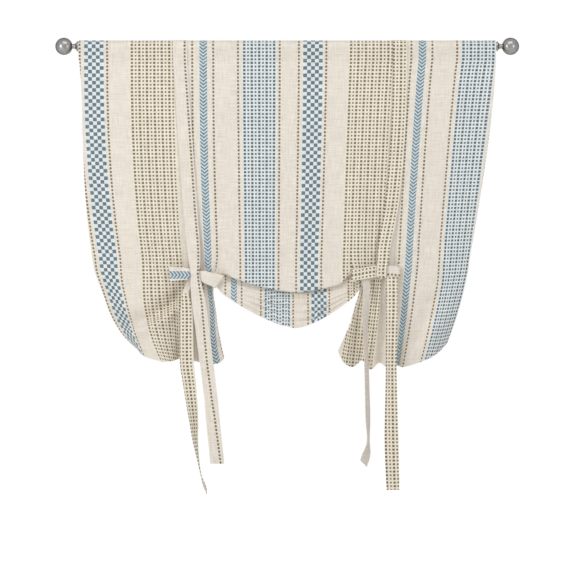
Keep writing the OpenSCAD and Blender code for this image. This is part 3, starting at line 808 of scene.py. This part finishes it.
def print_across():
    """Where each point of the panel lies across the print."""
    step = np.maximum(np.arange(len(panel)) - FIRST_LOWER, 0) / SUB
    inner = ease(np.minimum(COLUMNS - LEFT_NOTCH[0], RIGHT_NOTCH[1] - COLUMNS) / 14)
    share = ease((step - TUCK) / (TURN - TUCK))[:, None] * inner[None, :]
    u = COLUMNS[None, :] * (1 - share) + (panel[..., 0] - BAND_MID) / BAND_DRAW * share

    wing = np.flatnonzero((COLUMNS >= RIGHT_NOTCH[1]) & (COLUMNS <= WING_U))
    parts = np.linalg.norm(np.diff(panel[:, wing], axis=1), axis=2)
    reach = np.cumsum(parts[:, ::-1], axis=1)[:, ::-1]
    reach = np.concatenate([reach, np.zeros((len(panel), 1))], 1)
    share = ease((step - PINCH_STEPS) / WING_STEPS)[:, None]
    u[:, wing] = u[:, wing] * (1 - share) + (COLUMNS[wing[-1]] - reach) * share

    # The stripes lean in a little more or less than the cloth does
    slant = DRAW_POWER + LEFT_SLANT * ease((-COLUMNS - 100) / 150)
    slant -= RIGHT_SLANT * ease((COLUMNS - 60) / 150)
    slant += EDGE_SLANT * ease((COLUMNS - 540) / 44)
    fall = np.clip((np.arange(len(panel)) - FIRST_HANG) / HANG_ROWS, 0, 1)[:, None]
    u += (gather_x(COLUMNS) - COLUMNS) * (fall ** DRAW_POWER - fall ** slant)

    slide = SLIDE * ease((COLUMNS - SLIDE_U) / SLIDE_WIDTH) * (COLUMNS < LEFT_NOTCH[0])
    u -= slide * (ease((step - 1) / 3) * (1 - 0.75 * ease((step - 8) / 12)))[:, None]
    return u + sway


def panel_sides():
    """Materials of the panel's quads. The layer inside the tuck and the webs beside the
    notches, which only show from behind, have the reverse on both sides."""
    sides = np.tile([FACE, BACK], (len(panel) - 1, len(COLUMNS) - 1, 1))
    in_swag = (COLUMNS >= LEFT_NOTCH[0]) & (COLUMNS < RIGHT_NOTCH[1])
    in_web = in_swag & ((COLUMNS < LEFT_NOTCH[1]) | (COLUMNS >= RIGHT_NOTCH[0]))
    sides[FIRST_LOWER + TUCK * SUB:FIRST_LOWER + BAND * SUB, in_swag[:-1], 0] = BACK
    sides[FIRST_LOWER + PINCH_STEPS * SUB:, in_web[:-1], 0] = BACK
    return sides


def panel_thickness():
    """Thickness at each point, with the turned hems at the sides and along the bottom."""
    edge = HALF_W - np.abs(COLUMNS)
    to_hem = run[-1][None, :] - run
    hem = np.maximum(ease((HEM_W - edge[None, :]) / HEM_EASE), ease((HEM_W - to_hem) / HEM_EASE))
    return CLOTH_T + HEM_EXTRA * hem


panel_uv = quad_corners(np.stack([print_across(), run], 2) * MM)
curtain = cloth_object("linen_panel", panel, panel_thickness(), panel_uv, panel_sides(),
                       [face, back])
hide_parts("curtain_panel")
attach(curtain, "hung_rod")

# Stitching: the pocket's seam, the side hems and the bottom hems
SEAM_LIFT, STITCH_LIFT = CLOTH_T / 2 + 0.1, CLOTH_T / 2 + 0.38
STITCH_IN = 16
normals = grid_normals(panel)


def on_face(rows, cols, lift):
    points, n = panel[rows, cols], normals[rows, cols]
    return points + n * lift, n


def column(u):
    return np.searchsorted(COLUMNS, u)


hem_row = len(panel) - 6
side_rows = slice(TOP_ROW - 8, hem_row)
left_end, right_end = column(-HALF_W + STITCH_IN), column(HALF_W - STITCH_IN)
left_hem = slice(left_end, column(LEFT_NOTCH[0] - 4))
swag_hem = slice(column(LEFT_NOTCH[1] + 12), column(RIGHT_NOTCH[0] - 12))
right_hem = slice(column(RIGHT_NOTCH[1] + 4), right_end)
seams = [on_face(FIRST_HANG, slice(None), SEAM_LIFT)]
seams += [on_face(side_rows, end, STITCH_LIFT) for end in (left_end, right_end)]
seams += [on_face(hem_row, cols, STITCH_LIFT) for cols in (left_hem, swag_hem, right_hem)]
stitches = stitch_object("panel_stitches", seams, sewing)
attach(stitches, "hung_rod")


# The ties

ACROSS = 9
ROUTE_STEPS = 9
TIE_OFF = CLOTH_T / 2 + LAY_GAP + TIE_T / 2 + 1.2
TIE_INNER_T, TIE_HEM = TIE_T - 0.3, 0.35
STRAP_ANGLES = np.arange(112, 206, 6)
STRAP_ROWS, STRAP_PARTS = 41, 50
JOIN_BEFORE, JOIN_ROWS, JOIN_ROUNDS, JOIN_SHARE = 8, 22, 12, 0.2
FRONT_CURL, FRONT_CURL_ROWS, BACK_CURL, BACK_CURL_FROM = 1.6, 30, 0.8, 6


def smooth_route(rows, steps):
    """A route with steps rows for each of its own, smoothly joined."""
    rows = np.array(rows, float)
    last, out = len(rows) - 1, []
    for i in range(last):
        a, b = rows[i], rows[i + 1]
        da, db = (b - rows[max(i - 1, 0)]) / 2, (rows[min(i + 2, last)] - a) / 2
        out += [blend4(a, b, da, db, s / steps) for s in range(steps)]
    return np.array(out + [rows[last]])


def cloth_y(x, t):
    """Foremost depth of the panel under a front tie."""
    q = t ** DRAW_POWER
    u = (x + np.linspace(-1, 1, 9) * TIE_W / 2 + GATHER_SHIFT * q) / (1 - NARROWING * q)
    return hang_points(u, t)[:, 1].min()


def strap_rows(top_x, low_x, lean):
    """Front tie from the top of the pocket down to where it leaves the panel."""
    rows = []
    for angle in STRAP_ANGLES:
        y, z = wrap_yz(angle)
        d = math.hypot(y, z)
        rows.append([top_x, y + y / d * TIE_OFF, z + z / d * TIE_OFF, TIE_W / 2, 0, 0])
    for i in range(STRAP_ROWS):
        t = i / STRAP_PARTS
        x = top_x + (low_x - top_x) * t ** lean
        z = -SEAM_DROP - (GATHER_DROP - SEAM_DROP) * t
        rows.append([x, cloth_y(x, t) - TIE_OFF, z, TIE_W / 2, 0, 0])
    return np.array(rows)


def from_knot(knot, rows):
    rows = np.array(rows, float)
    rows[:, 0] += knot[0]
    rows[:, 2] += knot[1]
    return rows


def tie_object(name, node, rows, prints, sides, curl):
    """prints gives the middle of the printed strip for each row, with its way across; sides
    says which rows show the reverse on their front; curl bends the strip a little across."""
    k = np.linspace(-1, 1, ACROSS)[None, :]
    grid = rows[:, None, :3] + rows[:, None, 3:6] * k[..., None]
    n = grid_normals(grid)
    length = path_length(rows[:, :3])
    wave = np.sin(length / 43 + 0.8) * 0.4 + np.sin(length / 17) * 0.2
    bend = curl[:, None] * (1 - k ** 2) + wave[:, None] * k * np.minimum(curl, 1)[:, None]
    grid = grid + n * bend[..., None]
    centre, way = prints[:-1, :1], prints[:-1, 1:]
    half = np.linalg.norm(rows[:, 3:6], axis=1)[:, None]
    u, u_next = centre + way * k * half[:-1], centre + way * k * half[1:]
    v = np.broadcast_to(length[:, None], grid.shape[:2])
    corners = ((u[:, :-1], v[:-1, :-1]), (u_next[:, :-1], v[1:, :-1]),
               (u_next[:, 1:], v[1:, 1:]), (u[:, 1:], v[:-1, 1:]))
    uv = np.stack([np.stack(corner, 2) for corner in corners], 2) * MM
    thick = TIE_INNER_T + ease((abs(k) - 0.8) / 0.1) * TIE_HEM
    obj = cloth_object(name, grid, thick, uv, sides[:-1, None], [face, back])
    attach(obj, "hung_rod")
    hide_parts(node)
    length = length[-1] * 0.001


def front_tie(name, node, top_x, knot, route, lean, print_marks):
    """print_marks gives rows of the route with the middle of their print in the repeat."""
    low = from_knot(knot, route)
    strap = strap_rows(top_x, low[0, 0], lean)
    rows = np.concatenate([strap, smooth_route(low, ROUTE_STEPS)])
    # The join between the two is eased
    join = len(strap) - JOIN_BEFORE
    ease_rows(rows[join:join + JOIN_ROWS], JOIN_ROUNDS, JOIN_SHARE)
    below = np.arange(len(rows)) - len(strap)
    centre = PRINT_START + np.interp(below / ROUTE_STEPS, *zip(*print_marks))
    prints = np.stack([centre, np.ones(len(rows))], 1)
    curl = np.clip(below / FRONT_CURL_ROWS, 0, 1) * FRONT_CURL
    tie_object(name, node, rows, prints, np.tile([FACE, BACK], (len(rows), 1)), curl)


def spans(count, marks):
    """Values for each row from (first row, value) marks; each holds until the next."""
    out = np.zeros((count, np.size(marks[0][1])))
    for first, value in marks:
        out[int(first):] = value
    return out


# Rows of a back tie above its route: their depth from the pocket's back, and their height
BACK_TOP = ((0, 4), (0, -8), (-2, -60))
TOP = -len(BACK_TOP)


def back_tie(name, node, top_x, knot, route, marks, sides):
    """marks and sides give rows of the route, from TOP on, with their print and materials."""
    y = WRAP_R + TIE_OFF
    top = np.array([[top_x, y + dy, z, TIE_W / 2, 0, 0] for dy, z in BACK_TOP], float)
    rows = smooth_route(np.concatenate([top, from_knot(knot, route)]), ROUTE_STEPS)

    def at(i):
        return (i - TOP) * ROUTE_STEPS

    prints = spans(len(rows), [(at(i), (centre, way)) for i, centre, way in marks])
    faces = spans(len(rows), [(at(i), pair) for i, pair in sides]).astype(int)
    curl = np.full(len(rows), BACK_CURL)
    curl[:at(BACK_CURL_FROM)] = 0.0
    tie_object(name, node, rows, prints, faces, curl)


# Places of the print's parts on the cloth: plain, chevrons, dots, and lines at a strip's edge
PLAIN, CHEVRON = PRINT_START + 113, PRINT_START + CHEVRON_MID
DOTS, DOT_EDGE, LINE_LEFT = PRINT_START + 211.04, PRINT_START + 252, PRINT_START + 386

front_tie("left_front_ribbon", "left_front_tie", LEFT_TIE_X, LEFT_KNOT, LEFT_FRONT, 1,
          [(0, 304), (2, 309), (5, 309.5), (6.4, 316), (7, 315), (8, 311), (9, 307.5)])
front_tie("right_front_ribbon", "right_front_tie", RIGHT_TIE_X, RIGHT_KNOT, RIGHT_FRONT, 2,
          [(0, 250), (3, 248)])
back_tie("left_back_ribbon", "left_back_tie", LEFT_TIE_X, LEFT_KNOT, LEFT_BACK,
         [(TOP, PLAIN, 1), (10, CHEVRON + 3.5, 1), (13, PLAIN, 1), (22, DOT_EDGE, -1)],
         [(TOP, (FACE, BACK)), (19.5, (BACK, FACE))])
back_tie("right_back_ribbon", "right_back_tie", RIGHT_TIE_X, RIGHT_KNOT, RIGHT_BACK,
         [(TOP, PLAIN, 1), (10, LINE_LEFT, 1), (13, DOTS, 1), (18, PLAIN, 1)],
         [(TOP, (FACE, BACK)), (9, (BACK, FACE))])


# Stage, lights and camera, in metres

FLOOR_Z = -1.46
FLOOR_GLOW, SKY_GLOW = 0.55, 0.44


def seen_rays(tree):
    """One for rays that show the stage itself: to the camera, in a mirror or through glass."""
    path = tree.nodes.new("ShaderNodeLightPath")
    seen = path.outputs["Is Camera Ray"]
    for name in ("Is Glossy Ray", "Is Transmission Ray"):
        most = tree.nodes.new("ShaderNodeMath")
        most.operation = "MAXIMUM"
        tree.links.new(seen, most.inputs[0])
        tree.links.new(path.outputs[name], most.inputs[1])
        seen = most.outputs[0]
    return seen


def mix_shaders(tree, share, a, b, out):
    """Shader a where share is zero, b where it is one."""
    mix = tree.nodes.new("ShaderNodeMixShader")
    for source, socket in zip((share, a, b), mix.inputs):
        tree.links.new(source, socket)
    tree.links.new(mix.outputs[0], out.inputs[0])


def stage_floor():
    """Pale floor that is nearly white to look at and keeps the object's shadow."""
    corners = [(x, y, FLOOR_Z) for x, y in ((-5, -5), (5, -5), (5, 4), (-5, 4))]
    mesh = bpy.data.meshes.new("floor")
    mesh.from_pydata(corners, [], [(0, 1, 2, 3)])
    k = Shade("pale_floor")
    k.set(base_color=linear(236, 236, 234), roughness=0.9)
    glow, both = k.node("ShaderNodeEmission"), k.node("ShaderNodeAddShader")
    k.plug(FLOOR_GLOW, glow.inputs["Strength"])
    k.plug(k.skin.outputs[0], both.inputs[0])
    k.plug(glow.outputs[0], both.inputs[1])
    mix_shaders(k.tree, seen_rays(k.tree), k.skin.outputs[0], both.outputs[0],
                k.tree.nodes["Material Output"])
    mesh.materials.append(k.material)
    floor = add_object("floor", mesh)


def sky():
    """Even soft light, and a white background to look at."""
    world = bpy.data.worlds.new("studio")
    bpy.context.scene.world = world
    world.use_nodes = True
    tree = world.node_tree
    tree.nodes.clear()
    soft, white = [tree.nodes.new("ShaderNodeBackground") for _ in range(2)]
    soft.inputs["Strength"].default_value = SKY_GLOW
    for b in (soft, white):
        b.inputs["Color"].default_value = (1, 1, 1, 1)
    mix_shaders(tree, seen_rays(tree), soft.outputs[0], white.outputs[0],
                tree.nodes.new("ShaderNodeOutputWorld"))


def lamp(name, place, aim, power, width, height):
    data = bpy.data.lights.new(name, "AREA")
    data.shape = "RECTANGLE"
    data.size, data.size_y, data.energy = width, height, power
    obj = add_object(name, data)
    obj.location = place
    obj.rotation_euler = (Vector(aim) - Vector(place)).to_track_quat("-Z", "Y").to_euler()


stage_floor()
sky()
lamp("key", (-2.6, -2.4, -0.1), (0, 0, -0.62), 32, 0.9, 1.6)
lamp("fill", (2.7, -2.6, -0.3), (0, 0, -0.65), 19, 0.9, 1.6)
lamp("back", (-0.6, 3.2, 0.9), (0, 0, -0.6), 45, 1.6, 1.6)
lamp("top", (0.2, -1.9, 2.1), (0, 0, -0.7), 30, 2.8, 1.4)

# The camera looks straight at the front, at the middle of the photo's frame
DISTANCE, HALF_VIEW = 9.0, 0.8022
VIEW_X, VIEW_Z = -0.002, -0.6726
SENSOR = 36
camera = bpy.data.cameras.new("camera")
camera.sensor_width = SENSOR
camera.lens = SENSOR / 2 * DISTANCE / HALF_VIEW
camera.clip_end = 100
camera_object = add_object("camera", camera)
camera_object.location = (VIEW_X, -DISTANCE, VIEW_Z)
camera_object.rotation_euler = (math.pi / 2, 0, 0)
bpy.context.scene.camera = camera_object
bpy.context.scene.view_settings.view_transform = "Standard"
